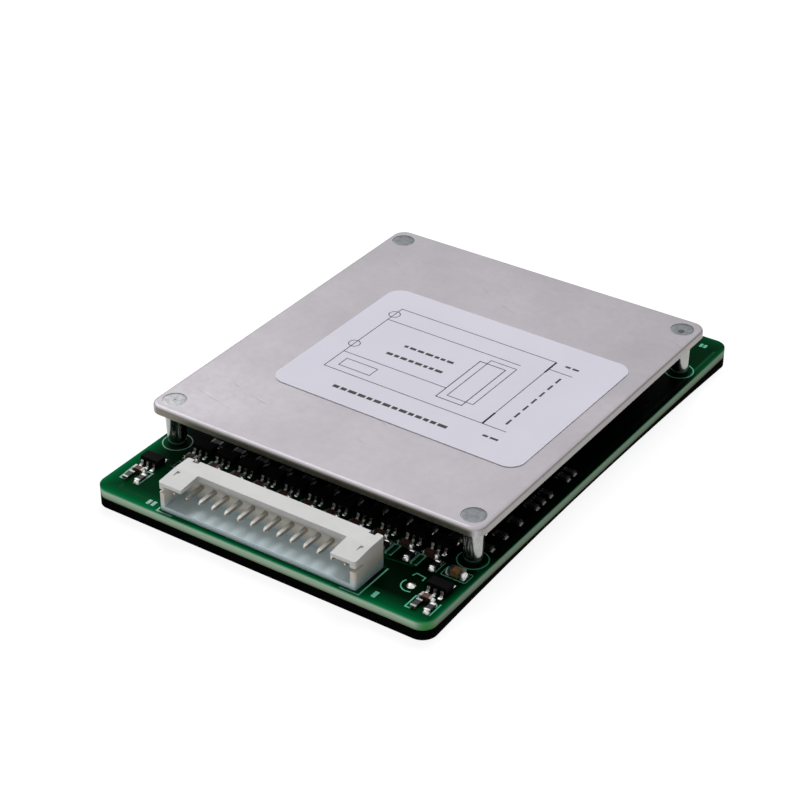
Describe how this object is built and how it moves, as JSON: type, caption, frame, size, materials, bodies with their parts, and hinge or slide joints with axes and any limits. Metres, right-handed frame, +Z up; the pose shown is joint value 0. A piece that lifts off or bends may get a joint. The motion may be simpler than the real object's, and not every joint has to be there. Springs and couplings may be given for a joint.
{
  "type": "battery management board",
  "caption": "Battery pack protection board with a side-entry cell-sense header, cell-balancing chips and a riveted aluminium heatsink plate over its power transistors.",
  "frame": {"origin": "middle of the insulating pad's underside, at the centre of the board's outline", "axes": "+X along the header's edge, to the right seen from the header; +Y from the header to the pack-lead end; +Z up through the heatsink plate"},
  "size_m": [0.051, 0.0764, 0.0094],
  "materials": {
    "pad": "matt black insulating foam",
    "board": "green solder mask over glass epoxy",
    "alloy": "rolled, satin, faintly scratched",
    "rivet": "cold-formed, dull",
    "paper": "coated white sticker",
    "gap_pad": "soft silicone",
    "nylon": "natural nylon, slightly translucent",
    "tin": "tin plate",
    "epoxy": "black moulding compound",
    "resistor": "black glazed film resistor",
    "capacitor": "brown fired ceramic",
    "tan": "tan fired ceramic"
  },
  "bodies": {
    "root": {"insulating_pad": "pad", "circuit_board": "board", "heatsink_plate": "alloy", "heatsink_rivets": "rivet", "label": "paper", "thermal_pad": "gap_pad", "header_housing": "nylon", "header_pins": "tin", "balance_chip_bodies": "epoxy", "balance_chip_leads": "tin", "balance_fet_bodies": "epoxy", "balance_fet_leads": "tin", "bleed_resistor_bodies": "resistor", "bleed_resistor_ends": "tin", "filter_capacitor_bodies": "capacitor", "filter_capacitor_ends": "tin", "cell_resistor_bodies": "resistor", "cell_resistor_ends": "tin", "gate_resistor_bodies": "resistor", "gate_resistor_ends": "tin", "side_resistor_bodies": "resistor", "side_resistor_ends": "tin", "supply_capacitor_body": "tan", "supply_capacitor_ends": "tin", "protection_chip_bodies": "epoxy", "protection_chip_leads": "tin", "shunt_bodies": "resistor", "shunt_ends": "tin", "lead_pads": "tin", "mosfet_body_1": "epoxy", "mosfet_frame_1": "tin", "mosfet_body_2": "epoxy", "mosfet_frame_2": "tin", "mosfet_body_3": "epoxy", "mosfet_frame_3": "tin", "mosfet_body_4": "epoxy", "mosfet_frame_4": "tin", "mosfet_body_5": "epoxy", "mosfet_frame_5": "tin", "mosfet_body_6": "epoxy", "mosfet_frame_6": "tin"}
  },
  "joints": []
}
